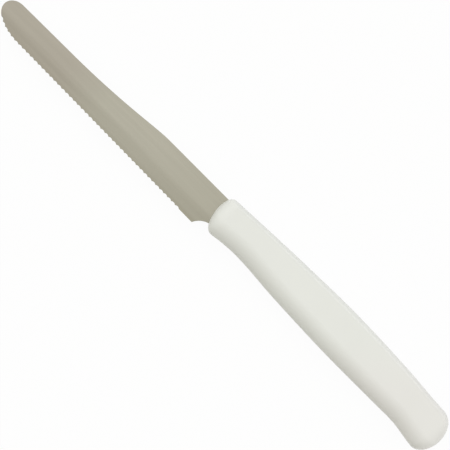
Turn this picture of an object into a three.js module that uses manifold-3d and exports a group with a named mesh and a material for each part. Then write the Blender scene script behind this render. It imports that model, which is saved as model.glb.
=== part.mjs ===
// Table knife: a stamped steel blade with a serrated edge, and a plastic handle moulded round its tang.
// Millimetres. The knife lies on its side: +X to the blade's tip, +Y to the cutting edge, +Z up.
// While it is drawn, X is 0 at the handle's front, Y is 0 at the tip's point and Z is 0 in mid blade.

import * as THREE from "three";
import { mergeVertices } from "three/addons/utils/BufferGeometryUtils.js";
import Module from "manifold-3d";

// Blade
const bladeReach = 105.3; // handle's front to the tip
const bladeThickness = 1.2;
const edgeThickness = 0.3; // at the heel, where the ground flanks end
const tipSpineLength = 5.2; // the tip's rounding on the spine side
const tipEdgeLength = 13.5; // and on the cutting side
const tipSpine = 4.24; // spine above the tip's point, where the tip's rounding starts
const tipEdge = 6.9; // cutting edge below the tip's point, where the tip's rounding ends

// The spine's rise from the narrow front stretch to its crest
const riseAhead = 73; // where the rise starts, ahead of the handle
const riseSpine = 4.1;
const risePull = 25; // how far the front stretch still steers the rise
const crestAhead = 28.6;
const crestPull = 6.9;
const crestPullSpine = 6.45;
const crestSpine = 6.26;
const frontSpine = 5.87; // spine where it enters the handle

// Heel of the blade and the notch between it and the handle
const heelAhead = 3.1;
const heelEdge = 9.08;
const notchRadius = 7.25;
const rootEdge = 4.9; // blade's lower side where it enters the handle

// Ground flanks: a flat on each side, from a line across the blade down to the edge
const grindAtHandle = 3.2; // line's place at the handle's front
const grindAtTip = 2.1; // and at the tip
const grindRunout = 4; // grind carried on inside the handle

// Serrations, ground from the lower side
const toothPitch = 2;
const toothLand = 0.1; // edge left at each point
const toothDepth = 0.42;
const toothTilt = THREE.MathUtils.degToRad(25); // slope of the ground scallops against the blade
const plainHeel = 6.53; // edge without teeth at the heel
const plainTip = 4.17; // and round the tip

// Tang, inside the handle
const tangLength = 62;
const tangEndWidth = 7.6;
const tangMiddle = -0.2; // middle of its end and of its holes, off the tip's point
const tangHoleDiameter = 5;
const firstHoleBack = 20; // behind the handle's front
const lastHoleFromEnd = 14;
const moulding = 0.3; // gap kept between the tang and the plastic round it

// Handle: outline stations, then how deep its ends are rounded
const handleLength = 114.7;
const handleThickness = 11.5;
const spineShoulder = 1.8; // rounded over from the spine to the flat stretch along each side
const bellyShoulder = 6.8; // and from the belly
const mouthSpine = 7.45;
const mouthBelly = 8.19;
const lipBack = 8;
const lipBelly = 7.01;
const hollowBack = 15.5; // the forefinger's hollow
const hollowBelly = 6.53;
const gripBack = 36;
const gripSpine = 8.45;
const gripBelly = 8.03;
const palmSpine = 8.57;
const palmBelly = 9.38;
const waistFromButt = 25.7;
const waistSpine = 7.28;
const waistBelly = 9.78;
const flareFromButt = 16.7;
const flareBelly = 9.93;
const hookFromButt = 5.7; // the butt's hooked corner
const hookSpine = 5.6;
const hookBelly = 11.58;
const frontPoint = -1.96; // height of the front's foremost point
const frontSpineDepth = 2.9;
const frontBellyDepth = 6;
const frontSideDepth = 5.5;
const buttPoint = 3.03; // height of the butt's rearmost point
const buttDepth = 6.3;
const buttSideDepth = 5;

// Fineness of the curved surfaces
const outlineSteps = 28;
const scallopSteps = 60; // round a whole circle
const quarterSteps = 8; // round a quarter of the handle's section
const endSteps = 9;
const ringSpacing = 4;

const steel = { color: 0xb2ac9e, roughness: 0.38, metalness: 1 };
const plastic = { color: 0xe5e6e0, roughness: 0.5, metalness: 0 };

const wasm = await Module();
wasm.setup();

// Makes a cutting library's solid from a geometry.
function solidOf(geometry) {
  const bare = geometry.clone();
  bare.deleteAttribute("normal");
  bare.deleteAttribute("uv");
  const merged = mergeVertices(bare);
  return new wasm.Manifold(
    new wasm.Mesh({
      numProp: 3,
      vertProperties: new Float32Array(merged.attributes.position.array),
      triVerts: new Uint32Array(merged.index.array),
    }),
  );
}

// Makes a geometry from a solid, with flat-shaded faces.
function geometryOf(solid) {
  const mesh = solid.getMesh();
  const geometry = new THREE.BufferGeometry();
  geometry.setAttribute("position", new THREE.BufferAttribute(mesh.vertProperties, 3));
  geometry.setIndex(new THREE.BufferAttribute(mesh.triVerts, 1));
  const faceted = geometry.toNonIndexed();
  faceted.computeVertexNormals();
  return faceted;
}

// Extrudes an outline to a sheet that is centred on Z = 0.
function sheetOf(shape, thickness) {
  const options = { depth: thickness, bevelEnabled: false, curveSegments: outlineSteps };
  return new THREE.ExtrudeGeometry(shape, options).translate(0, 0, -thickness / 2);
}

// Blade outline

const tip = {
  spine: { x: bladeReach - tipSpineLength, y: -tipSpine },
  edge: { x: bladeReach - tipEdgeLength, y: tipEdge },
};
const notchCentreY = rootEdge + notchRadius;
const notchCentreX = heelAhead - Math.sqrt(notchRadius ** 2 - (notchCentreY - heelEdge) ** 2);
const tangHoles = [-firstHoleBack, lastHoleFromEnd - tangLength];

// Draws the tang's sides from the notch's foot, round its end, to the spine, grown by a clearance.
function drawTang(path, grow) {
  const radius = tangEndWidth / 2;
  const endX = radius - tangLength;
  path.lineTo(endX, tangMiddle + radius + grow);
  path.absarc(endX, tangMiddle, radius + grow, Math.PI / 2, -Math.PI / 2, false);
  path.lineTo(0, -frontSpine - grow);
}

// Cuts the tang's holes into an outline, made smaller by a clearance.
function drawTangHoles(shape, shrink) {
  for (const x of tangHoles) {
    const hole = new THREE.Path();
    hole.absarc(x, tangMiddle, tangHoleDiameter / 2 - shrink, 0, 2 * Math.PI, true);
    shape.holes.push(hole);
  }
}

// The cutting edge as one path, from the tip's point to the heel.
function cuttingEdge() {
  const path = new THREE.CurvePath();
  path.add(new THREE.EllipseCurve(tip.edge.x, 0, tipEdgeLength, tipEdge, 0, Math.PI / 2));
  path.add(
    new THREE.LineCurve(
      new THREE.Vector2(tip.edge.x, tip.edge.y),
      new THREE.Vector2(heelAhead, heelEdge),
    ),
  );
  return path;
}

function bladeOutline() {
  const shape = new THREE.Shape();
  shape.moveTo(bladeReach, 0);
  shape.absellipse(tip.edge.x, 0, tipEdgeLength, tipEdge, 0, Math.PI / 2);
  shape.lineTo(heelAhead, heelEdge);
  const corner = Math.atan2(heelEdge - notchCentreY, heelAhead - notchCentreX);
  shape.absarc(notchCentreX, notchCentreY, notchRadius, corner, -Math.PI / 2, true);
  drawTang(shape, 0);
  shape.lineTo(crestAhead, -crestSpine);
  shape.bezierCurveTo(
    crestAhead + crestPull,
    -crestPullSpine,
    riseAhead - risePull,
    -riseSpine,
    riseAhead,
    -riseSpine,
  );
  shape.lineTo(tip.spine.x, tip.spine.y);
  shape.absellipse(tip.spine.x, 0, tipSpineLength, tipSpine, -Math.PI / 2, 0);
  drawTangHoles(shape, 0);
  return shape;
}

// Ground flanks

const grindLine = new THREE.Line3(
  new THREE.Vector3(0, grindAtHandle, 0),
  new THREE.Vector3(bladeReach, grindAtTip, 0),
);
const grindSlope = (bladeThickness - edgeThickness) / 2 / (heelEdge - grindAtHandle);

// Half the blade's thickness at a point of the ground flanks.
function groundHalf(point) {
  const along = new THREE.Vector3();
  const flat = new THREE.Vector3(point.x, point.y, 0);
  grindLine.closestPointToPoint(flat, false, along);
  return bladeThickness / 2 - grindSlope * along.distanceTo(flat);
}

// What the grinding takes off one side, +1 for the upper and -1 for the lower.
function grindCutter(side) {
  const behind = bladeThickness; // starts behind the line, so that the two faces cross there
  const reach = heelEdge + bladeThickness;
  const clear = 2 * bladeThickness;
  const profile = new THREE.Shape([
    new THREE.Vector2(-behind, side * (bladeThickness / 2 + grindSlope * behind)),
    new THREE.Vector2(reach, side * (bladeThickness / 2 - grindSlope * reach)),
    new THREE.Vector2(reach, side * clear),
    new THREE.Vector2(-behind, side * clear),
  ]);
  const length = bladeReach + grindRunout + heelEdge;
  const cutter = new THREE.ExtrudeGeometry(profile, { depth: length, bevelEnabled: false });
  const [x, y, z] = [0, 1, 2].map((axis) => new THREE.Vector3().setComponent(axis, 1));
  cutter.applyMatrix4(new THREE.Matrix4().makeBasis(y, z, x));
  cutter.translate(-grindRunout, 0, 0);
  cutter.rotateZ(Math.atan2(grindAtTip - grindAtHandle, bladeReach));
  return cutter.translate(0, grindAtHandle, 0);
}

// Serrations

// A round cutter for each scallop, lying across the edge and tilted so that it cuts deeper below.
function scallopCutters() {
  const edge = cuttingEdge();
  const length = edge.getLength();
  const count = Math.floor((length - plainHeel - plainTip) / toothPitch);
  const chord = toothPitch - toothLand;
  const rise = toothDepth * Math.sin(toothTilt);
  const radius = (chord ** 2 / 4 + rise ** 2) / (2 * rise);
  const reach = (radius * Math.cos(toothTilt) + bladeThickness) / Math.sin(toothTilt);
  const up = new THREE.Vector3(0, 0, 1);
  const cutters = [];
  for (let index = 0; index < count; index += 1) {
    const share = (length - plainHeel - (index + 0.5) * toothPitch) / length;
    const point = edge.getPointAt(share);
    const tangent = edge.getTangentAt(share);
    const along = new THREE.Vector3(tangent.x, tangent.y, 0);
    const outward = new THREE.Vector3().crossVectors(along, up);
    const outside = new THREE.Vector3(point.x, point.y, groundHalf(point));
    outside.addScaledVector(outward, radius / Math.sin(toothTilt) - toothDepth);
    const axis = up.clone().multiplyScalar(Math.sin(toothTilt));
    axis.addScaledVector(outward, Math.cos(toothTilt));
    const cutter = new THREE.CylinderGeometry(radius, radius, 2 * reach, scallopSteps);
    const across = new THREE.Vector3().crossVectors(along, axis);
    cutter.applyMatrix4(new THREE.Matrix4().makeBasis(along, axis, across));
    cutters.push(cutter.translate(outside.x, outside.y, outside.z));
  }
  return cutters;
}

function makeBlade() {
  let blade = solidOf(sheetOf(bladeOutline(), bladeThickness));
  for (const cutter of [grindCutter(1), grindCutter(-1), ...scallopCutters()]) {
    blade = blade.subtract(solidOf(cutter));
  }
  return geometryOf(blade);
}

// Handle

const waistBack = handleLength - waistFromButt;
const hookBack = handleLength - hookFromButt;
const palmBack = (gripBack + waistBack) / 2;

// A smooth line through outline stations, as a function of the distance behind the front.
function lineThrough(stations) {
  const places = stations.map(([back]) => back);
  const heights = stations.map(([, height]) => height);
  const line = new THREE.CubicInterpolant(places, heights, 1);
  return (back) => line.evaluate(back)[0];
}

const spineLine = lineThrough([
  [0, -mouthSpine],
  [gripBack, -gripSpine],
  [palmBack, -palmSpine],
  [waistBack, -waistSpine],
  [hookBack, -hookSpine],
  [handleLength, -hookSpine],
]);
const bellyLine = lineThrough([
  [0, mouthBelly],
  [lipBack, lipBelly],
  [hollowBack, hollowBelly],
  [gripBack, gripBelly],
  [palmBack, palmBelly],
  [waistBack, waistBelly],
  [handleLength - flareFromButt, flareBelly],
  [hookBack, hookBelly],
  [handleLength, hookBelly],
]);

// A quarter-round: 0 at an end of the handle, 1 from the rounding's depth onwards.
function roundedEnd(distance, depth) {
  const left = Math.max(0, 1 - distance / depth);
  return Math.sqrt(1 - left ** 2);
}

// Height of the spine's and belly's side, half the thickness, and how far the ends have drawn them
// together, some way behind the front.
function handleSizes(back) {
  const ahead = handleLength - back;
  const front = back < ahead;
  const point = front ? frontPoint : buttPoint;
  const spineEnd = front ? roundedEnd(back, frontSpineDepth) : roundedEnd(ahead, buttDepth);
  const bellyEnd = front ? roundedEnd(back, frontBellyDepth) : roundedEnd(ahead, buttDepth);
  const sideEnd = front ? roundedEnd(back, frontSideDepth) : roundedEnd(ahead, buttSideDepth);
  const spine = THREE.MathUtils.lerp(point, spineLine(back), spineEnd);
  const belly = THREE.MathUtils.lerp(point, bellyLine(back), bellyEnd);
  return {
    spine,
    belly,
    half: (handleThickness / 2) * sideEnd,
    taper: (belly - spine) / (bellyLine(back) - spineLine(back)),
  };
}

// One ring of the handle's skin: four rounded shoulders, with a flat panel above and below.
function handleRing(back) {
  const { spine, belly, half, taper } = handleSizes(back);
  const ring = [];
  for (let quarter = 0; quarter < 4; quarter += 1) {
    const towardsBelly = quarter === 0 || quarter === 3;
    const shoulder = taper * (towardsBelly ? bellyShoulder : spineShoulder);
    const start = towardsBelly ? belly - shoulder : spine + shoulder;
    for (let step = 0; step <= quarterSteps; step += 1) {
      if (step === quarterSteps && quarter % 2 === 1) continue;
      const angle = ((quarter + step / quarterSteps) * Math.PI) / 2;
      const y = start + shoulder * Math.cos(angle);
      ring.push(new THREE.Vector3(-back, y, half * Math.sin(angle)));
    }
  }
  return ring;
}

// Distances behind the front at which the skin has a ring, closer together where it rounds off.
function ringPlaces() {
  const places = [];
  for (let step = 1; step < endSteps; step += 1) {
    places.push(frontBellyDepth * (1 - Math.cos(((step / endSteps) * Math.PI) / 2)));
  }
  const straight = handleLength - frontBellyDepth - buttDepth;
  const spans = Math.round(straight / ringSpacing);
  for (let span = 0; span <= spans; span += 1) {
    places.push(frontBellyDepth + (straight * span) / spans);
  }
  for (let step = endSteps - 1; step > 0; step -= 1) {
    places.push(handleLength - buttDepth * (1 - Math.cos(((step / endSteps) * Math.PI) / 2)));
  }
  return places;
}

// Joins rings and a point at either end to one closed skin.
function skinOf(rings, frontEnd, backEnd) {
  const size = rings[0].length;
  const points = [...rings.flat(), frontEnd, backEnd];
  const front = points.length - 2;
  const back = points.length - 1;
  const last = (rings.length - 1) * size;
  const faces = [];
  for (let here = 0; here < size; here += 1) {
    const next = (here + 1) % size;
    faces.push(front, here, next);
    faces.push(back, last + next, last + here);
    for (let start = 0; start < last; start += size) {
      faces.push(start + here, start + size + here, start + size + next);
      faces.push(start + here, start + size + next, start + next);
    }
  }
  const geometry = new THREE.BufferGeometry().setFromPoints(points);
  return geometry.setIndex(faces);
}

// The space that the tang takes up in the handle, open at the front. Its holes leave the plugs.
function tangSpace() {
  const radius = notchRadius - moulding;
  const mouth = heelAhead / 2; // in front of the handle, short of the heel
  const shape = new THREE.Shape();
  const corner = -Math.acos((mouth - notchCentreX) / radius);
  shape.moveTo(mouth, notchCentreY + radius * Math.sin(corner));
  shape.absarc(notchCentreX, notchCentreY, radius, corner, -Math.PI / 2, true);
  drawTang(shape, moulding);
  shape.lineTo(mouth, -frontSpine - moulding);
  drawTangHoles(shape, moulding);
  return sheetOf(shape, bladeThickness + 2 * moulding);
}

function makeHandle() {
  const frontEnd = new THREE.Vector3(0, frontPoint, 0);
  const backEnd = new THREE.Vector3(-handleLength, buttPoint, 0);
  const skin = solidOf(skinOf(ringPlaces().map(handleRing), frontEnd, backEnd));
  return geometryOf(skin.subtract(solidOf(tangSpace())));
}

// Assembly, moved so that the middle of its underside is at the origin

function part(name, geometry, finish) {
  const mesh = new THREE.Mesh(geometry, new THREE.MeshStandardMaterial(finish));
  mesh.name = name;
  return mesh;
}

const knife = new THREE.Group();
knife.add(part("blade", makeBlade(), steel));
knife.add(part("handle", makeHandle(), plastic));
const box = new THREE.Box3().setFromObject(knife);
const middle = box.getCenter(new THREE.Vector3());
knife.position.set(-middle.x, -middle.y, -box.min.z);

const group = new THREE.Group();
group.name = "table_knife";
group.add(knife);

export default group;
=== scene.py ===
"""A table knife: a serrated steel blade in a moulded white handle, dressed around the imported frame."""

import logging
import math
from contextlib import contextmanager
from dataclasses import dataclass, field
from enum import Enum
from typing import Any, Callable, Iterator, Sequence

import bmesh
import bpy
from mathutils import Matrix, Vector


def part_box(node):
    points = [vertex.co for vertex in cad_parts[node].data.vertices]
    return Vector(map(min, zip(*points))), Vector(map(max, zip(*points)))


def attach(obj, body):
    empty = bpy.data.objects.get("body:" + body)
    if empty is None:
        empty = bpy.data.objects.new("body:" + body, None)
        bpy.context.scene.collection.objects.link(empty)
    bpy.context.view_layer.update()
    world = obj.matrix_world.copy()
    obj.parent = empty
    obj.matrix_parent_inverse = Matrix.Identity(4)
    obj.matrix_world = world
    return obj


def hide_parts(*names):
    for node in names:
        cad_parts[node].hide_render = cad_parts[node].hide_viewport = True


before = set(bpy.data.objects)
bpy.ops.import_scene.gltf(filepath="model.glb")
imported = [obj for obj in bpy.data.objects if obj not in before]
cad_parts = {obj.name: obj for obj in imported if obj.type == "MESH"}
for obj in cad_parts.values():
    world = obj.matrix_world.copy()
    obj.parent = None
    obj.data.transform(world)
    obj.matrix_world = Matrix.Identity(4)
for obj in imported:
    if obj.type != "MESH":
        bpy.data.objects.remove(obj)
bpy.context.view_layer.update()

MM = 0.001
# Places nearer than NEAR are one place. SLACK allows for what rounding leaves between two shapes.
NEAR = 0.001 * MM
SLACK = 0.01 * MM
CREASE = math.radians(40.0)
UP = Vector((0.0, 0.0, 1.0))
BODY = "root"

log = logging.getLogger("table_knife")

Colour = tuple[float, float, float]
Material = bpy.types.Material
Stops = Sequence[tuple[float, Colour]]
WHITE: Colour = (1.0, 1.0, 1.0)


class Choose(Enum):
    """What an edit-mode selection is made of."""

    POINTS = "VERT"
    EDGES = "EDGE"
    FACES = "FACE"


class Flank(Enum):
    """A side of the blade, with the direction that it faces along Z."""

    UPPER = 1.0
    LOWER = -1.0


class Bench:
    """One mesh object on the bench, shaped with operators."""

    def __init__(self, piece: bpy.types.Object, name: str) -> None:
        """Takes hold of a piece.

        Args:
            piece: The object to work on.
            name: The name that it and its mesh get.
        """
        self.piece = piece
        piece.name = name
        piece.data.name = name

    @staticmethod
    def clear() -> None:
        """Deselects every object, so that the next operator acts on new work alone."""
        bpy.ops.object.select_all(action="DESELECT")

    @classmethod
    def traced(cls, name: str, outline: Sequence[Vector], pull: Vector) -> "Bench":
        """Pulls one point along an outline, fills it and pulls the face out to a solid.

        Args:
            name: The new object's name.
            outline: The corners, in order, without a repeat of the first.
            pull: The way from the outline to the solid's far end.

        Returns:
            The bench that holds the solid.
        """
        cls.clear()
        bpy.ops.mesh.primitive_plane_add(size=MM, location=outline[0])
        bench = cls(bpy.context.object, name)
        bpy.ops.object.transform_apply()
        with bench.editing():
            bpy.ops.mesh.select_mode(type=Choose.POINTS.value)
            bpy.ops.mesh.select_all(action="SELECT")
            bpy.ops.mesh.merge(type="CENTER")
            for here, there in zip(outline, outline[1:]):
                bpy.ops.mesh.extrude_vertices_move(TRANSFORM_OT_translate={"value": there - here})
            bpy.ops.mesh.select_all(action="SELECT")
            bpy.ops.mesh.edge_face_add()
            bpy.ops.mesh.extrude_region_move(TRANSFORM_OT_translate={"value": pull})
            bench.face_outwards()
        return bench

    @classmethod
    def rod(cls, name: str, middle: Vector, axis: Vector, radius: float, length: float,
            sides: int) -> "Bench":
        """Adds a round rod, as a cutter.

        Args:
            name: The new object's name.
            middle: The rod's middle.
            axis: The direction that it runs in.
            radius: Its radius.
            length: Its length.
            sides: The number of its sides.

        Returns:
            The bench that holds the rod.
        """
        cls.clear()
        turn = axis.to_track_quat("Z", "Y").to_euler()
        bpy.ops.mesh.primitive_cylinder_add(
            vertices=sides, radius=radius, depth=length, location=middle, rotation=turn
        )
        return cls(bpy.context.object, name)

    def hold(self) -> None:
        """Selects the piece alone and makes it active."""
        self.clear()
        self.piece.select_set(True)
        bpy.context.view_layer.objects.active = self.piece

    @contextmanager
    def editing(self) -> Iterator[None]:
        """Opens the piece in edit mode for the length of a with block."""
        self.hold()
        bpy.ops.object.mode_set(mode="EDIT")
        yield
        bpy.ops.object.mode_set(mode="OBJECT")

    def pick(self, choose: Choose, test: Callable[[Any], bool]) -> None:
        """Selects, in edit mode, the elements that pass a test and no others.

        Args:
            choose: The kind of element.
            test: Says whether an element is wanted.
        """
        bpy.ops.mesh.select_mode(type=choose.value)
        bpy.ops.mesh.select_all(action="DESELECT")
        mesh = bmesh.from_edit_mesh(self.piece.data)
        lists = {Choose.POINTS: mesh.verts, Choose.EDGES: mesh.edges, Choose.FACES: mesh.faces}
        for element in lists[choose]:
            if test(element):
                element.select_set(True)
        mesh.select_flush_mode()
        bmesh.update_edit_mesh(self.piece.data)

    @staticmethod
    def face_outwards() -> None:
        """Turns every face outwards, in edit mode."""
        bpy.ops.mesh.select_all(action="SELECT")
        bpy.ops.mesh.normals_make_consistent()

    def cut(self, cutter: "Bench") -> None:
        """Takes a cutter's shape out of the piece, and scraps the cutter.

        Args:
            cutter: The bench that holds the cutter.
        """
        self.hold()
        bpy.ops.object.modifier_add(type="BOOLEAN")
        modifier = self.piece.modifiers[-1]
        modifier.operation = "DIFFERENCE"
        modifier.solver = "EXACT"
        modifier.object = cutter.piece
        bpy.ops.object.modifier_apply(modifier=modifier.name)
        bpy.data.objects.remove(cutter.piece, do_unlink=True)

    def coat(self, *materials: Material) -> None:
        """Gives the piece its materials, and shades it smooth across edges softer than a crease.

        Args:
            materials: The materials, in the order of their slots.
        """
        self.piece.data.materials.clear()
        for material in materials:
            self.piece.data.materials.append(material)
        self.hold()
        bpy.ops.object.shade_smooth_by_angle(angle=CREASE)


class Wire:
    """A node's output in a shader, for use in Python expressions."""

    def __init__(self, graph: "Graph", socket: bpy.types.NodeSocket) -> None:
        """Holds an output and the graph that it belongs to."""
        self.graph = graph
        self.socket = socket

    def _math(self, operation: str, first: Any, second: Any) -> "Wire":
        """Adds one Math node."""
        return self.graph.node("ShaderNodeMath", {"operation": operation}, {0: first, 1: second})

    def __add__(self, other: Any) -> "Wire":
        """This value plus another."""
        return self._math("ADD", self, other)

    __radd__ = __add__

    def __sub__(self, other: Any) -> "Wire":
        """This value minus another."""
        return self._math("SUBTRACT", self, other)

    def __rsub__(self, other: Any) -> "Wire":
        """Another value minus this."""
        return self._math("SUBTRACT", other, self)

    def __mul__(self, other: Any) -> "Wire":
        """This value times another."""
        return self._math("MULTIPLY", self, other)

    __rmul__ = __mul__

    def __pow__(self, other: Any) -> "Wire":
        """This value to a power."""
        return self._math("POWER", self, other)

    def __rpow__(self, other: Any) -> "Wire":
        """Another value to the power of this."""
        return self._math("POWER", other, self)

    def largest(self, other: Any) -> "Wire":
        """The larger of this value and another."""
        return self._math("MAXIMUM", self, other)


@dataclass(frozen=True)
class Grain:
    """Noise that a finish carries: a grain's lengths along X, Y and Z, its octaves and its relief."""

    size: tuple[float, float, float]
    detail: float = 2.0
    contrast: float = 0.55
    depth: float = 0.0
    strength: float = 0.0


class Graph:
    """The node tree of one material or world."""

    def __init__(self, tree: bpy.types.NodeTree) -> None:
        """Empties a node tree for new work."""
        self.tree = tree
        tree.nodes.clear()

    def node(self, kind: str, settings: dict[str, Any] | None = None,
             sockets: dict[str | int, Any] | None = None, output: str | int = 0) -> Wire:
        """Adds a node.

        Args:
            kind: The node's type.
            settings: Its own settings, set first. The key stops gives a ramp's places and colours.
            sockets: A value or a wire for each input, by name or number.
            output: The output to return.

        Returns:
            The wire from that output.
        """
        node = self.tree.nodes.new(kind)
        for key, value in (settings or {}).items():
            if key == "stops":
                self._set_stops(node.color_ramp, value)
            else:
                setattr(node, key, value)
        for key, value in (sockets or {}).items():
            if isinstance(value, Wire):
                self.tree.links.new(value.socket, node.inputs[key])
            else:
                node.inputs[key].default_value = value
        return Wire(self, node.outputs[output]) if node.outputs else Wire(self, None)

    @staticmethod
    def _set_stops(ramp: bpy.types.ColorRamp, stops: Stops) -> None:
        """Gives a ramp its stops, in order of place."""
        while len(ramp.elements) < len(stops):
            ramp.elements.new(1.0)
        for element, (place, colour) in zip(ramp.elements, stops):
            element.position = place
            element.color = (*colour, 1.0)

    def grains(self, grain: Grain) -> Wire:
        """Noise on the object's own coordinates.

        Args:
            grain: The grains' lengths and octaves.

        Returns:
            The noise, from 0 to 1.
        """
        place = self.node("ShaderNodeTexCoord", output="Object")
        scale = tuple(1.0 / length for length in grain.size)
        drawn = self.node("ShaderNodeMapping", None, {"Vector": place, "Scale": scale})
        sockets = {"Vector": drawn, "Scale": 1.0, "Detail": grain.detail, "Roughness": grain.contrast}
        return self.node("ShaderNodeTexNoise", None, sockets)

    def tint(self, share: Wire, low: Colour, high: Colour) -> Wire:
        """A mix of two colours, by the share of the second."""
        sockets = {0: share, 6: (*low, 1.0), 7: (*high, 1.0)}
        return self.node("ShaderNodeMix", {"data_type": "RGBA"}, sockets, output=2)

    def drift(self, start: Vector, end: Vector, stops: Stops) -> Wire:
        """A colour that changes slowly from one place to another.

        Args:
            start: Where the first place is.
            end: Where the last place is.
            stops: Shares of the way, and the colour at each.

        Returns:
            The colour.
        """
        place = self.node("ShaderNodeTexCoord", output="Object")
        way = end - start
        gone = self.node("ShaderNodeVectorMath", {"operation": "SUBTRACT"}, {0: place, 1: start})
        sockets = {0: gone, 1: way / way.length_squared}
        share = self.node("ShaderNodeVectorMath", {"operation": "DOT_PRODUCT"}, sockets, "Value")
        return self.node("ShaderNodeValToRGB", {"stops": stops}, {0: share})

    def filtered(self, colour: Wire, tint: Wire) -> Wire:
        """A colour seen through a tint: the product of the two."""
        settings = {"data_type": "RGBA", "blend_type": "MULTIPLY"}
        return self.node("ShaderNodeMix", settings, {0: 1.0, 6: colour, 7: tint}, output=2)

    def relief(self, height: Wire, grain: Grain) -> Wire:
        """Turns a grain's noise into a surface normal."""
        sockets = {"Height": height, "Distance": grain.depth, "Strength": grain.strength}
        return self.node("ShaderNodeBump", None, sockets)

    def surface(self, sockets: dict[str, Any]) -> None:
        """Ends a material in one Principled shader with these inputs."""
        shader = self.node("ShaderNodeBsdfPrincipled", None, sockets)
        self.node("ShaderNodeOutputMaterial", None, {"Surface": shader})


def new_material(name: str) -> tuple[Material, Graph]:
    """Makes an empty node material.

    Args:
        name: The material's name.

    Returns:
        The material and its graph.
    """
    material = bpy.data.materials.new(name)
    material.use_nodes = True
    return material, Graph(material.node_tree)


@dataclass(frozen=True)
class Datum:
    """Where the drawing's zero lies in the frame: handle's front, tip's height and mid thickness."""

    x: float
    y: float
    z: float

    def at(self, x: float, y: float, z: float = 0.0) -> Vector:
        """A point of the drawing, placed in the frame."""
        return Vector((self.x + x, self.y + y, self.z + z))


@dataclass(frozen=True)
class SatinSteel:
    """Stainless sheet, ground satin along the blade, with painted light along it that is brightest half
    way and turns warmer towards the tip, and painted shade along the cutting edge.
    """

    dark: Colour = (0.367, 0.349, 0.285)
    light: Colour = (0.464, 0.441, 0.362)
    # Painted light along the blade: the base colour's tints from the handle, by way of half way, to the
    # tip.
    by_handle: Colour = (0.930, 0.937, 0.932)
    half_way: Colour = (0.977, 0.984, 0.990)
    half_way_start: float = 0.30
    half_way_end: float = 0.52
    by_tip: Colour = (0.914, 0.890, 0.905)
    tip_start: float = 0.70
    # Painted shade: the base colour darkens towards the cutting edge, over edge_width, fully from
    # edge_start of that way.
    edge_painted_shade: Colour = (0.955, 0.95, 0.93)
    edge_start: float = 0.7
    edge_width: float = 1.7 * MM
    bands: Grain = Grain((42.0 * MM, 1.7 * MM, 1.7 * MM))
    band_share: float = 0.65
    scratches: Grain = Grain(
        (9.0 * MM, 0.16 * MM, 0.16 * MM), detail=3.0, depth=0.012 * MM, strength=0.35
    )
    scratch_share: float = 0.35
    roughness: float = 0.36
    roughness_swing: float = 0.09

    def material(self, front: Vector, tip: Vector, heel: Vector, bend: Vector) -> Material:
        """Makes the material: broad bands of tone, under fine scratches, with painted light along the
        blade and painted shade along the cutting edge.

        Args:
            front: Where the blade leaves the handle.
            tip: Where it ends.
            heel: Where the straight stretch of the cutting edge starts.
            bend: Where that stretch ends.

        Returns:
            The material.
        """
        material, graph = new_material("satin_steel")
        # Painted light along the blade, from the handle to the tip.
        stops = [
            (0.0, self.by_handle),
            (self.half_way_start, self.half_way),
            (self.half_way_end, self.half_way),
            (self.tip_start, self.by_tip),
        ]
        # Painted shade that darkens the steel within edge_width of the cutting edge.
        inward = (bend - heel).cross(UP).normalized() * self.edge_width
        edge_shade_stops = [(0.0, WHITE), (self.edge_start, self.edge_painted_shade)]
        drift = graph.filtered(
            graph.drift(front, tip, stops),
            graph.drift(heel + inward, heel, edge_shade_stops),
        )
        bands = graph.grains(self.bands)
        scratches = graph.grains(self.scratches)
        tone = self.band_share * bands + self.scratch_share * scratches
        graph.surface(
            {
                "Base Color": graph.filtered(graph.tint(tone, self.dark, self.light), drift),
                "Metallic": 1.0,
                "Roughness": self.roughness + self.roughness_swing * (scratches - 0.5),
                "Normal": graph.relief(scratches, self.scratches),
            }
        )
        return material


@dataclass(frozen=True)
class ShearedSteelAndPaintedShade:
    """The stamped rim of the sheet, scored across its thickness, and darker: partly the sheared face's
    own tone, partly painted shade for the dark line along the blade's outline.
    """

    # Darker than the flanks: partly the sheared face's own tone, partly painted shade along the blade's
    # outline.
    dark: Colour = (0.15, 0.142, 0.12)
    light: Colour = (0.25, 0.238, 0.20)
    scores: Grain = Grain((0.2 * MM, 0.2 * MM, 1.5 * MM), depth=0.01 * MM, strength=0.4)
    roughness: float = 0.46
    roughness_swing: float = 0.1

    def material(self) -> Material:
        """Makes the material.

        Returns:
            The material.
        """
        material, graph = new_material("sheared_steel_and_painted_shade")
        scores = graph.grains(self.scores)
        graph.surface(
            {
                "Base Color": graph.tint(scores, self.dark, self.light),
                "Metallic": 1.0,
                "Roughness": self.roughness + self.roughness_swing * (scores - 0.5),
                "Normal": graph.relief(scores, self.scores),
            }
        )
        return material


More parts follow.
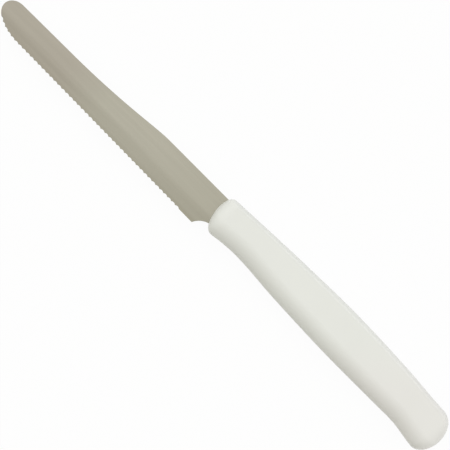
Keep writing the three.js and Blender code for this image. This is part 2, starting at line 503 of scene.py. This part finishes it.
@dataclass(frozen=True)
class MouldedPlastic:
    """White polypropylene with the fine satin texture of its mould."""

    shade: Colour = (0.772, 0.782, 0.741)
    pale: Colour = (0.800, 0.810, 0.769)
    warm: Colour = (1.0, 0.98, 0.99)
    # The plastic turns warmer from the first place towards the second, that is towards the butt and the
    # belly.
    untinted_place: tuple[float, float] = (-66.0 * MM, 0.0)
    warm_place: tuple[float, float] = (-78.6 * MM, 12.6 * MM)
    clouds: Grain = Grain((14.0 * MM, 14.0 * MM, 14.0 * MM))
    texture: Grain = Grain((0.22 * MM, 0.22 * MM, 0.22 * MM), depth=0.004 * MM, strength=0.5)
    roughness: float = 0.40
    roughness_swing: float = 0.06
    refraction: float = 1.49
    shine: float = 0.3

    def material(self, datum: Datum) -> Material:
        """Makes the material: faint clouds of tone, and a fine even texture.

        Args:
            datum: The drawing's zero, for the places between which the plastic turns warmer.

        Returns:
            The material.
        """
        material, graph = new_material("moulded_plastic")
        clean, warm = datum.at(*self.untinted_place), datum.at(*self.warm_place)
        drift = graph.drift(clean, warm, [(0.0, WHITE), (1.0, self.warm)])
        clouds = graph.grains(self.clouds)
        texture = graph.grains(self.texture)
        graph.surface(
            {
                "Base Color": graph.filtered(graph.tint(clouds, self.shade, self.pale), drift),
                "Roughness": self.roughness + self.roughness_swing * (texture - 0.5),
                "IOR": self.refraction,
                "Specular IOR Level": self.shine,
                "Normal": graph.relief(texture, self.texture),
            }
        )
        return material


class Path2D:
    """A line through many close points, walked by its length."""

    def __init__(self, points: Sequence[Vector]) -> None:
        """Measures the line.

        Args:
            points: Its points, in order.
        """
        self.points = list(points)
        self.marks = [0.0]
        for here, there in zip(self.points, self.points[1:]):
            self.marks.append(self.marks[-1] + (there - here).length)

    @property
    def length(self) -> float:
        """The whole length."""
        return self.marks[-1]

    def walk(self, distance: float) -> tuple[Vector, Vector]:
        """Goes some way along the line.

        Args:
            distance: How far, from its start.

        Returns:
            The point there and the direction of travel.
        """
        index = max(i for i, mark in enumerate(self.marks[:-1]) if mark <= distance)
        here, there = self.points[index], self.points[index + 1]
        heading = (there - here).normalized()
        return here + heading * (distance - self.marks[index]), heading


def ellipse(middle: tuple[float, float], radii: tuple[float, float], start: float, end: float,
            steps: int) -> list[Vector]:
    """Points on an arc of an ellipse between two angles in degrees, both ends included."""
    angles = [math.radians(start + (end - start) * step / steps) for step in range(steps + 1)]
    return [
        Vector((middle[0] + radii[0] * math.cos(a), middle[1] + radii[1] * math.sin(a), 0.0))
        for a in angles
    ]


def swoop(corners: Sequence[tuple[float, float]], steps: int) -> list[Vector]:
    """Points on a cubic curve.

    Args:
        corners: Its start, two handles and end.
        steps: The number of spans.

    Returns:
        The points, both ends included.
    """
    start, first, second, end = (Vector((x, y, 0.0)) for x, y in corners)
    points = []
    for step in range(steps + 1):
        t = step / steps
        u = 1.0 - t
        points.append(start * u**3 + first * 3 * u * u * t + second * 3 * u * t * t + end * t**3)
    return points


@dataclass
class Blade:
    """The stamped blade with its tang: outline, ground flanks and serrations."""

    datum: Datum
    reach: float = 105.3 * MM
    thickness: float = 1.2 * MM
    edge_thickness: float = 0.3 * MM
    tip_spine_length: float = 5.2 * MM
    tip_edge_length: float = 13.5 * MM
    tip_spine: float = 4.24 * MM
    tip_edge: float = 6.9 * MM
    rise_ahead: float = 73.0 * MM
    rise_spine: float = 4.1 * MM
    rise_pull: float = 25.0 * MM
    crest_ahead: float = 28.6 * MM
    crest_pull: float = 6.9 * MM
    crest_pull_spine: float = 6.45 * MM
    crest_spine: float = 6.26 * MM
    front_spine: float = 5.87 * MM
    heel_ahead: float = 3.1 * MM
    heel_edge: float = 9.08 * MM
    notch_radius: float = 7.25 * MM
    root_edge: float = 4.9 * MM
    grind_at_handle: float = 3.2 * MM
    grind_at_tip: float = 2.1 * MM
    grind_runout: float = 4.0 * MM
    grind_blend: float = 1.1 * MM
    grind_steps: int = 16
    tooth_pitch: float = 2.0 * MM
    tooth_land: float = 0.1 * MM
    tooth_depth: float = 0.42 * MM
    tooth_tilt: float = math.radians(25.0)
    plain_heel: float = 6.53 * MM
    plain_tip: float = 4.17 * MM
    tang_length: float = 62.0 * MM
    tang_end_width: float = 7.6 * MM
    tang_middle: float = -0.2 * MM
    tang_hole_diameter: float = 5.0 * MM
    first_hole_back: float = 20.0 * MM
    last_hole_from_end: float = 14.0 * MM
    rim_rounding: float = 0.3 * MM
    rim_turn: float = math.radians(60.0)
    grind_lift: float = 0.05 * MM
    flat_slack: float = 0.002
    curve_steps: int = 36
    tip_steps: int = 72
    walk_steps: int = 360
    rim_steps: int = 4
    hole_sides: int = 48
    scallop_sides: int = 96

    @property
    def notch_middle(self) -> tuple[float, float]:
        """The middle of the round notch between heel and handle."""
        y = self.root_edge + self.notch_radius
        x = self.heel_ahead - math.sqrt(self.notch_radius**2 - (y - self.heel_edge) ** 2)
        return x, y

    @property
    def hole_places(self) -> tuple[float, float]:
        """Where the tang's holes are, along X."""
        return -self.first_hole_back, self.last_hole_from_end - self.tang_length

    def tip_arc(self, steps: int) -> list[Vector]:
        """The tip's round on the edge's side, from its point to the straight stretch."""
        middle = (self.reach - self.tip_edge_length, 0.0)
        return ellipse(middle, (self.tip_edge_length, self.tip_edge), 0.0, 90.0, steps)

    def cutting_edge(self) -> Path2D:
        """The cutting edge from the tip's point to the heel, before it is serrated."""
        heel = Vector((self.heel_ahead, self.heel_edge, 0.0))
        return Path2D([*self.tip_arc(self.walk_steps), heel])

    def tang_sides(self, grow: float) -> list[Vector]:
        """The tang's outline from the notch's foot, round its end, to the spine.

        Args:
            grow: How far outside the tang it runs.

        Returns:
            The points.
        """
        radius = self.tang_end_width / 2
        middle = (radius - self.tang_length, self.tang_middle)
        end = ellipse(middle, (radius + grow, radius + grow), 90.0, 270.0, self.curve_steps)
        return [*end, Vector((0.0, -self.front_spine - grow, 0.0))]

    def notch(self, grow: float, start: float) -> list[Vector]:
        """The notch's arc from its outer end, at an angle in degrees, to its foot, grown outwards."""
        radius = self.notch_radius - grow
        return ellipse(self.notch_middle, (radius, radius), start, -90.0, self.curve_steps // 2)

    def outline(self) -> list[Vector]:
        """The whole blank's outline, from the tip's point by way of the edge."""
        middle = (self.reach - self.tip_spine_length, 0.0)
        radii = (self.tip_spine_length, self.tip_spine)
        notch_x, notch_y = self.notch_middle
        corner = math.atan2(self.heel_edge - notch_y, self.heel_ahead - notch_x)
        rise = swoop(
            [
                (self.crest_ahead, -self.crest_spine),
                (self.crest_ahead + self.crest_pull, -self.crest_pull_spine),
                (self.rise_ahead - self.rise_pull, -self.rise_spine),
                (self.rise_ahead, -self.rise_spine),
            ],
            self.curve_steps,
        )
        return [
            *self.tip_arc(self.tip_steps),
            *self.notch(0.0, math.degrees(corner)),
            *self.tang_sides(0.0),
            *rise,
            *ellipse(middle, radii, -90.0, 0.0, self.curve_steps)[:-1],
        ]

    def sheet(self, name: str, outline: Sequence[Vector], thickness: float) -> Bench:
        """Traces an outline of the drawing as a sheet that lies in mid thickness."""
        placed = [self.datum.at(point.x, point.y, -thickness / 2) for point in outline]
        return Bench.traced(name, placed, UP * thickness)

    def tang_space(self, grow: float) -> Bench:
        """The solid that the tang and a clearance take up in the handle, open for its plugs.

        Args:
            grow: The clearance all round.

        Returns:
            The bench that holds it.
        """
        mouth = self.heel_ahead / 2
        radius = self.notch_radius - grow
        start = -math.degrees(math.acos((mouth - self.notch_middle[0]) / radius))
        outline = [
            *self.notch(grow, start),
            *self.tang_sides(grow),
            Vector((mouth, -self.front_spine - grow, 0.0)),
        ]
        bench = self.sheet("tang_space", outline, self.thickness + 2 * grow)
        self.drill(bench, -grow)
        return bench

    def drill(self, bench: Bench, grow: float) -> None:
        """Drills the tang's holes.

        Args:
            bench: What is drilled.
            grow: How much wider than the tang's holes each side of a hole is.
        """
        radius = self.tang_hole_diameter / 2 + grow
        for x in self.hole_places:
            middle = self.datum.at(x, self.tang_middle)
            bench.cut(Bench.rod("drill", middle, UP, radius, 4 * self.thickness, self.hole_sides))

    @property
    def grind_slope(self) -> float:
        """How fast a ground flank drops towards the edge."""
        drop = (self.thickness - self.edge_thickness) / 2
        return drop / (self.heel_edge - self.grind_at_handle)

    def grind_line(self, x: float) -> float:
        """Where the ground flank starts, across the blade."""
        return self.grind_at_handle + (self.grind_at_tip - self.grind_at_handle) * x / self.reach

    def grind(self, bench: Bench, flank: Flank) -> None:
        """Grinds the flat on one side, which starts softly and ends inside the handle.

        Args:
            bench: The blank.
            flank: The side.
        """
        heading = Vector((self.reach, self.grind_at_tip - self.grind_at_handle, 0.0)).normalized()
        across = UP.cross(heading)
        start = self.datum.at(-self.grind_runout, self.grind_line(-self.grind_runout))
        half = self.thickness / 2
        blend = self.grind_blend
        spans = [blend * (2 * step / self.grind_steps - 1) for step in range(self.grind_steps + 1)]
        soft = [(span, half - self.grind_slope * (span + blend) ** 2 / (4 * blend)) for span in spans]
        wide = 2 * self.heel_edge
        profile = [
            (-2 * blend, half + self.grind_lift),
            *soft,
            (wide, half - self.grind_slope * wide),
            (wide, 4 * half),
            (-2 * blend, 4 * half),
        ]
        placed = [start + across * width + UP * flank.value * height for width, height in profile]
        bench.cut(Bench.traced("grinding", placed, heading * (self.reach + 3 * self.grind_runout)))

    def serrate(self, bench: Bench) -> int:
        """Grinds the scallops into the edge, from below.

        Args:
            bench: The blade.

        Returns:
            The number of scallops.
        """
        edge = self.cutting_edge()
        toothed = edge.length - self.plain_heel - self.plain_tip
        count = math.floor(toothed / self.tooth_pitch)
        chord = self.tooth_pitch - self.tooth_land
        rise = self.tooth_depth * math.sin(self.tooth_tilt)
        radius = (chord**2 / 4 + rise**2) / (2 * rise)
        reach = (radius * math.cos(self.tooth_tilt) + self.thickness) / math.sin(self.tooth_tilt)
        for index in range(count):
            place = edge.length - self.plain_heel - (index + 0.5) * self.tooth_pitch
            point, heading = edge.walk(place)
            outward = heading.cross(UP)
            drop = self.grind_slope * (point.y - self.grind_line(point.x))
            front = self.datum.at(point.x, point.y, self.thickness / 2 - drop)
            middle = front + outward * (radius / math.sin(self.tooth_tilt) - self.tooth_depth)
            axis = outward * math.cos(self.tooth_tilt) + UP * math.sin(self.tooth_tilt)
            wheel = Bench.rod("scallop", middle, axis, radius, 2 * reach, self.scallop_sides)
            bench.cut(wheel)
        return count

    def is_sharpened(self, place: Vector) -> bool:
        """Whether a point lies by the cutting edge.

        Args:
            place: The point, in the frame.

        Returns:
            True from the tip's plain stretch to the heel.
        """
        x, y = place.x - self.datum.x, place.y - self.datum.y
        plain = self.cutting_edge().walk(self.plain_tip)[0]
        return x > self.heel_ahead - SLACK and y > plain.y - SLACK

    def round_rim(self, bench: Bench) -> None:
        """Rounds the stamped rim on both sides, but not along the cutting edge.

        Args:
            bench: The blank.
        """

        def is_rim(edge: bmesh.types.BMEdge) -> bool:
            """Whether an edge lies between a flank and the rim, away from the cutting edge."""
            turned = edge.calc_face_angle(0.0) > self.rim_turn
            level = abs(edge.verts[0].co.z - edge.verts[1].co.z) < SLACK
            return turned and level and not all(self.is_sharpened(p.co) for p in edge.verts)

        with bench.editing():
            bench.pick(Choose.EDGES, is_rim)
            bpy.ops.mesh.bevel(offset=self.rim_rounding, segments=self.rim_steps, clamp_overlap=True)

    def build(self) -> Bench:
        """Stamps, rounds, grinds and serrates the blade.

        Returns:
            The bench that holds it.
        """
        bench = self.sheet("knife_blade", self.outline(), self.thickness)
        self.round_rim(bench)
        self.drill(bench, 0.0)
        for flank in Flank:
            self.grind(bench, flank)
        log.info("ground %d scallops", self.serrate(bench))
        return bench

    def dress(self, bench: Bench, satin: Material, rim: Material) -> None:
        """Gives the flanks and the rim their finishes, and keeps the flanks flat.

        Args:
            bench: The finished blade.
            satin: The flanks' material.
            rim: The rim's material.
        """
        bench.coat(satin, rim)
        level = math.cos(math.atan(self.grind_slope)) - self.flat_slack

        def is_flank(face: bmesh.types.BMFace) -> bool:
            """Whether a face is a flat one of a flank, or a long strip of the grind's soft start."""
            strip = self.reach * self.grind_blend / self.grind_steps
            return abs(face.normal.z) > level and face.calc_area() > strip

        def is_rim(face: bmesh.types.BMFace) -> bool:
            """Whether a face is part of the stamped rim."""
            return abs(face.normal.z) <= level and not self.is_sharpened(face.calc_center_median())

        with bench.editing():
            bench.pick(Choose.FACES, is_flank)
            bpy.ops.mesh.faces_shade_flat()
            bench.pick(Choose.FACES, is_rim)
            bench.piece.active_material_index = 1
            bpy.ops.object.material_slot_assign()


class Line:
    """A smooth line through outline stations."""

    def __init__(self, stations: Sequence[tuple[float, float]]) -> None:
        """Works out the slope at each station.

        Args:
            stations: Distance behind the handle's front, and height there.
        """
        self.stations = list(stations)
        chords = [
            (there[1] - here[1]) / (there[0] - here[0])
            for here, there in zip(self.stations, self.stations[1:])
        ]
        inner = [(before + after) / 2 for before, after in zip(chords, chords[1:])]
        self.slopes = [chords[0], *inner, chords[-1]]

    def at(self, back: float) -> float:
        """The line's height.

        Args:
            back: Distance behind the front.

        Returns:
            The height there.
        """
        spans = range(len(self.stations) - 1)
        index = max(i for i in spans if i == 0 or self.stations[i][0] <= back)
        (start, low), (end, high) = self.stations[index : index + 2]
        width = end - start
        t = (back - start) / width
        u = 1.0 - t
        return (
            (1 + 2 * t) * u * u * low
            + t * u * u * width * self.slopes[index]
            + t * t * (3 - 2 * t) * high
            - t * t * u * width * self.slopes[index + 1]
        )


@dataclass(frozen=True)
class Section:
    """The handle's section at one place: its middle, half its height and half its thickness.

    The shares are the parts of the half height that the two shoulders take up.
    """

    back: float
    middle: float
    half_height: float
    half_thickness: float
    spine_share: float
    belly_share: float


@dataclass
class Handle:
    """The moulded handle: a skin of rings with rounded ends, and a pocket for the tang."""

    datum: Datum
    length: float = 114.7 * MM
    thickness: float = 11.5 * MM
    spine_shoulder: float = 1.8 * MM
    belly_shoulder: float = 6.8 * MM
    mouth_spine: float = 7.45 * MM
    mouth_belly: float = 8.19 * MM
    lip: tuple[float, float] = (8.0 * MM, 7.01 * MM)
    hollow: tuple[float, float] = (15.5 * MM, 6.53 * MM)
    grip_back: float = 36.0 * MM
    grip_spine: float = 8.45 * MM
    grip_belly: float = 8.03 * MM
    palm_spine: float = 8.57 * MM
    palm_belly: float = 9.38 * MM
    waist_from_butt: float = 25.7 * MM
    waist_spine: float = 7.28 * MM
    waist_belly: float = 9.78 * MM
    flare_from_butt: float = 16.7 * MM
    flare_belly: float = 9.93 * MM
    hook_from_butt: float = 5.7 * MM
    hook_spine: float = 5.6 * MM
    hook_belly: float = 11.58 * MM
    front_point: float = -1.96 * MM
    front_spine_depth: float = 2.9 * MM
    front_belly_depth: float = 5.2 * MM
    front_side_depth: float = 5.5 * MM
    butt_point: float = 3.03 * MM
    butt_depth: float = 6.3 * MM
    butt_side_depth: float = 5.0 * MM
    seam_height: float = 0.03 * MM
    tang_clearance: float = 0.02 * MM
    panel_tilt: float = math.radians(0.2)
    ring_points: int = 130
    ring_spacing: float = 1.5 * MM
    end_rings: int = 18
    spine_line: Line = field(init=False)
    belly_line: Line = field(init=False)

    def __post_init__(self) -> None:
        """Draws the spine's and the belly's line through their stations."""
        waist = self.length - self.waist_from_butt
        hook = self.length - self.hook_from_butt
        palm = (self.grip_back + waist) / 2
        self.spine_line = Line(
            [
                (0.0, -self.mouth_spine),
                (self.grip_back, -self.grip_spine),
                (palm, -self.palm_spine),
                (waist, -self.waist_spine),
                (hook, -self.hook_spine),
                (self.length, -self.hook_spine),
            ]
        )
        self.belly_line = Line(
            [
                (0.0, self.mouth_belly),
                self.lip,
                self.hollow,
                (self.grip_back, self.grip_belly),
                (palm, self.palm_belly),
                (waist, self.waist_belly),
                (self.length - self.flare_from_butt, self.flare_belly),
                (hook, self.hook_belly),
                (self.length, self.hook_belly),
            ]
        )

    @staticmethod
    def rounded(distance: float, depth: float) -> float:
        """A quarter-round: 0 at an end of the handle, 1 from the rounding's depth onwards."""
        return math.sqrt(1.0 - max(0.0, 1.0 - distance / depth) ** 2)

    def section(self, back: float) -> Section:
        """The section some way behind the front.

        Args:
            back: The distance.

        Returns:
            The section.
        """
        ahead = self.length - back
        if back < ahead:
            point = self.front_point
            spine_end = self.rounded(back, self.front_spine_depth)
            belly_end = self.rounded(back, self.front_belly_depth)
            side_end = self.rounded(back, self.front_side_depth)
        else:
            point = self.butt_point
            spine_end = belly_end = self.rounded(ahead, self.butt_depth)
            side_end = self.rounded(ahead, self.butt_side_depth)
        spine = point + (self.spine_line.at(back) - point) * spine_end
        belly = point + (self.belly_line.at(back) - point) * belly_end
        palm_height = self.palm_spine + self.palm_belly
        full_height = self.belly_line.at(back) - self.spine_line.at(back)
        return Section(
            back,
            (spine + belly) / 2,
            (belly - spine) / 2,
            self.thickness / 2 * side_end,
            1.0 - (1.0 - 2 * self.spine_shoulder / palm_height) * spine_end,
            min(1.0, 2 * self.belly_shoulder / full_height),
        )

    def place(self, section: Section) -> Vector:
        """The middle of a section, in the frame."""
        return self.datum.at(-section.back, section.middle)

    def ring_places(self) -> list[float]:
        """Distances behind the front at which the skin has a ring, closest at the ends."""
        turns = [math.pi / 2 * ring / self.end_rings for ring in range(1, self.end_rings)]
        front_depth = max(self.front_belly_depth, self.front_side_depth)
        straight = self.length - front_depth - self.butt_depth
        spans = round(straight / self.ring_spacing)
        front = [front_depth * (1 - math.cos(turn)) for turn in turns]
        middle = [front_depth + straight * span / spans for span in range(spans + 1)]
        butt = [self.length - self.butt_depth * (1 - math.cos(turn)) for turn in reversed(turns)]
        return front + middle + butt

    def first_ring(self, section: Section) -> Bench:
        """Shapes a circle to the handle's section, with a flat panel above and below.

        Args:
            section: The section at the first ring.

        Returns:
            The bench that holds the ring.
        """
        Bench.clear()
        middle = self.place(section)
        bpy.ops.mesh.primitive_circle_add(
            vertices=self.ring_points, radius=1.0, location=middle, rotation=(0.0, math.pi / 2, 0.0)
        )
        bench = Bench(bpy.context.object, "knife_handle")
        bpy.ops.object.transform_apply()
        top = math.cos(math.pi / self.ring_points)
        with bench.editing():
            for side, share in ((1.0, section.belly_share), (-1.0, section.spine_share)):
                bench.pick(Choose.POINTS, lambda point: (point.co.y - middle.y) * side > 0.0)
                bpy.ops.transform.resize(value=(1.0, share, 1.0 / top), center_override=middle)
                bpy.ops.transform.translate(value=(0.0, side * (1.0 - share), 0.0))
            bpy.ops.mesh.select_all(action="SELECT")
            size = (1.0, section.half_height, section.half_thickness)
            bpy.ops.transform.resize(value=size, center_override=middle)
        return bench

    def grow_skin(self, bench: Bench, sections: Sequence[Section]) -> None:
        """Pulls the first ring out to the whole skin and closes both ends.

        Args:
            bench: The bench that holds the first ring.
            sections: The sections of all the rings.
        """
        first = self.place(sections[0])
        front = self.datum.at(0.0, self.front_point)
        butt = self.datum.at(-self.length, self.butt_point)
        with bench.editing():
            bpy.ops.mesh.select_all(action="SELECT")
            self.close_end(first, front)
            bench.pick(Choose.EDGES, lambda edge: all(p.co.x < first.x + NEAR for p in edge.verts))
            for here, there in zip(sections, sections[1:]):
                step = Vector((here.back - there.back, there.middle - here.middle, 0.0))
                bpy.ops.mesh.extrude_region_move(TRANSFORM_OT_translate={"value": step})
                taller = there.half_height / here.half_height
                thicker = there.half_thickness / here.half_thickness
                bpy.ops.transform.resize(value=(1.0, taller, thicker), center_override=self.place(there))
                self.widen_shoulders(bench, here, there)
            self.close_end(self.place(sections[-1]), butt)
            bench.face_outwards()

    def widen_shoulders(self, bench: Bench, here: Section, there: Section) -> None:
        """Gives the ring that was pulled out last the shoulders of its own section.

        Args:
            bench: The bench that holds the skin.
            here: The section that the ring was pulled from.
            there: The ring's section.
        """
        middle = self.place(there)
        shoulders = (
            (-1.0, there.spine_share / here.spine_share),
            (1.0, there.belly_share / here.belly_share),
        )

        def on_ring(point: bmesh.types.BMVert) -> bool:
            """Whether a point belongs to the ring."""
            return abs(point.co.x - middle.x) < NEAR

        def on_side(point: bmesh.types.BMVert) -> bool:
            """Whether a point belongs to the shoulder at hand."""
            return on_ring(point) and (point.co.y - middle.y) * side > 0.0

        for side, times in shoulders:
            bench.pick(Choose.POINTS, on_side)
            bpy.ops.transform.resize(
                value=(1.0, times, 1.0),
                center_override=self.datum.at(-there.back, there.middle + side * there.half_height),
            )
        bench.pick(Choose.EDGES, lambda edge: all(on_ring(point) for point in edge.verts))

    @staticmethod
    def close_end(ring: Vector, point: Vector) -> None:
        """Draws the selected ring, which lies round a middle, together to the handle's end."""
        bpy.ops.mesh.extrude_region_move(TRANSFORM_OT_translate={"value": point - ring})
        bpy.ops.mesh.merge(type="CENTER")

    def raise_seam(self, bench: Bench) -> None:
        """Raises the line where the mould's two halves met, along spine and belly.

        Args:
            bench: The closed skin.
        """
        ends = 2 * self.ring_spacing
        low = self.datum.x - self.length + ends
        high = self.datum.x - ends
        with bench.editing():
            bench.pick(
                Choose.POINTS,
                lambda point: abs(point.co.z - self.datum.z) < NEAR and low < point.co.x < high,
            )
            bpy.ops.transform.shrink_fatten(value=self.seam_height)

    def build(self, blade: Blade) -> Bench:
        """Makes the skin, its seam and the pocket for the tang.

        Args:
            blade: The blade that the handle is moulded round.

        Returns:
            The bench that holds the handle.
        """
        sections = [self.section(back) for back in self.ring_places()]
        bench = self.first_ring(sections[0])
        self.grow_skin(bench, sections)
        self.raise_seam(bench)
        bench.cut(blade.tang_space(self.tang_clearance))
        return bench

    def dress(self, bench: Bench, plastic: Material) -> None:
        """Gives the handle its finish, and keeps its panels flat.

        Args:
            bench: The finished handle.
            plastic: Its material.
        """
        bench.coat(plastic)
        with bench.editing():
            bench.pick(Choose.FACES, lambda face: abs(face.normal.z) > math.cos(self.panel_tilt))
            bpy.ops.mesh.set_normals_from_faces(keep_sharp=True)


@dataclass(frozen=True)
class Studio:
    """A white table top under a soft sky, with the camera straight above."""

    floor_size: float = 8.0
    floor_gap: float = 0.01 * MM
    floor_colour: Colour = (0.80, 0.80, 0.79)
    floor_glow: float = 0.95
    sky_peak: float = 1.38
    sky_lean: float = math.radians(-20.0)
    sky_width: float = math.radians(54.0)
    sky_rest: float = 0.13
    rest_start: float = math.radians(20.0)
    rest_end: float = math.radians(60.0)
    sky_span: float = math.radians(100.0)
    sky_steps: int = 10
    warm_tint: Colour = (1.0, 0.96, 0.77)
    warm_lean: float = math.radians(60.0)
    front_level: float = 1.0
    back_level: float = 0.42
    end_falloff: float = 3.0
    lens: float = 150.0
    sensor: float = 36.0
    view_width: float = 160.5 * MM
    view_middle: tuple[float, float] = (-6.13 * MM, 1.495 * MM)
    tip_heading: tuple[float, float] = (-0.71523, 0.69889)

    def build(self, datum: Datum) -> None:
        """Sets up everything around the knife.

        Args:
            datum: The drawing's zero, at the height that the photograph's scale holds at.
        """
        self.lay_floor()
        self.light_sky()
        self.place_camera(datum)

    def lay_floor(self) -> None:
        """Lays the table top, which the camera and the steel see as white."""
        Bench.clear()
        bpy.ops.mesh.primitive_plane_add(size=self.floor_size, location=(0.0, 0.0, -self.floor_gap))
        floor = bpy.context.object
        floor.name = "table_top"
        material, graph = new_material("table_top")
        rays = ("Is Camera Ray", "Is Glossy Ray", "Is Transmission Ray")
        camera, shiny, clear = (graph.node("ShaderNodeLightPath", output=ray) for ray in rays)
        seen = camera.largest(shiny).largest(clear) * self.floor_glow
        matte = graph.node("ShaderNodeBsdfDiffuse", None, {"Color": (*self.floor_colour, 1.0)})
        glow = graph.node("ShaderNodeEmission", None, {"Strength": 1.0})
        mixed = graph.node("ShaderNodeMixShader", None, {0: seen, 1: matte, 2: glow})
        graph.node("ShaderNodeOutputMaterial", None, {"Surface": mixed})
        floor.data.materials.append(material)

    def sky_level(self, lean: float) -> float:
        """The sky's level: a soft bell on the spine's side, and a faint rest on the belly's.

        Args:
            lean: The angle from straight up, positive towards the belly.

        Returns:
            The level there.
        """
        bell = self.sky_peak * math.exp(-(((lean - self.sky_lean) / self.sky_width) ** 2))
        share = (lean - self.rest_start) / (self.rest_end - self.rest_start)
        return bell + self.sky_rest * min(1.0, max(0.0, share))

    def sky_stops(self) -> list[tuple[float, Colour]]:
        """The sky's colours from the spine's horizon over the top to the belly's, brightest as 1."""
        stops = []
        for step in range(self.sky_steps + 1):
            place = step / self.sky_steps
            lean = (2 * place - 1) * self.sky_span
            level = self.sky_level(lean) / self.sky_peak
            warmth = min(1.0, max(0.0, lean / self.warm_lean))
            red, green, blue = (level * (1 + (t - 1) * warmth) for t in self.warm_tint)
            stops.append((place, (red, green, blue)))
        return stops

    def light_sky(self) -> None:
        """Fills the sky with one wide soft light that leans to the spine's side."""
        world = bpy.data.worlds.new("soft_sky")
        world.use_nodes = True
        bpy.context.scene.world = world
        graph = Graph(world.node_tree)
        heading = graph.node("ShaderNodeTexCoord", output="Generated")
        ahead, across, upward = (
            graph.node("ShaderNodeSeparateXYZ", None, {0: heading}, output=axis) for axis in "XYZ"
        )
        lean = graph.node("ShaderNodeMath", {"operation": "ARCTAN2"}, {0: across, 1: upward})
        share = lean * (0.5 / self.sky_span) + 0.5
        ramp = graph.node("ShaderNodeValToRGB", {"stops": self.sky_stops()}, {0: share})
        sockets = {"Color": ramp, "Strength": self.sky_peak}
        sky = graph.node("ShaderNodeBackground", None, sockets)
        level = ahead.largest(0.0) ** self.end_falloff * self.front_level
        level += (0.0 - ahead).largest(0.0) ** self.end_falloff * self.back_level
        ends = graph.node("ShaderNodeBackground", None, {"Strength": level})
        both = graph.node("ShaderNodeAddShader", None, {0: sky, 1: ends})
        graph.node("ShaderNodeOutputWorld", None, {"Surface": both})

    def place_camera(self, datum: Datum) -> None:
        """Puts the camera straight above, turned so that the tip points to the upper left.

        Args:
            datum: The drawing's zero, at the height that the view's width holds at.
        """
        Bench.clear()
        bpy.ops.object.camera_add()
        camera = bpy.context.object
        camera.name = "camera"
        camera.data.lens = self.lens
        camera.data.sensor_width = self.sensor
        distance = self.view_width * self.lens / self.sensor
        tip_right, tip_up = self.tip_heading
        turn = Matrix(((tip_right, tip_up, 0.0), (-tip_up, tip_right, 0.0), (0.0, 0.0, 1.0)))
        place = Matrix.Translation(datum.at(*self.view_middle, distance))
        camera.matrix_world = place @ turn.to_4x4()
        bpy.context.scene.camera = camera


def show(bench: Bench, node: str) -> None:
    """Puts a finished piece in its node's place.

    Args:
        bench: The bench that holds the piece.
        node: The node that it stands for.
    """
    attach(bench.piece, BODY)
    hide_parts(node)
    log.info("%s: %d faces", bench.piece.name, len(bench.piece.data.polygons))


def main() -> None:
    """Builds the knife and its studio."""
    logging.basicConfig(level=logging.INFO, format="%(name)s: %(message)s")
    bpy.context.scene.view_settings.view_transform = "Standard"
    low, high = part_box("blade")
    datum = Datum(high.x - Blade.reach, high.y - Blade.heel_edge, (low.z + high.z) / 2)
    blade = Blade(datum)
    handle = Handle(datum)
    steel = blade.build()
    satin = SatinSteel().material(
        datum.at(0.0, 0.0),
        datum.at(blade.reach, 0.0),
        datum.at(blade.heel_ahead, blade.heel_edge),
        datum.at(blade.reach - blade.tip_edge_length, blade.tip_edge),
    )
    blade.dress(steel, satin, ShearedSteelAndPaintedShade().material())
    grip = handle.build(blade)
    handle.dress(grip, MouldedPlastic().material(datum))
    show(steel, "blade")
    show(grip, "handle")
    Studio().build(datum)


if __name__ == "__main__":
    main()
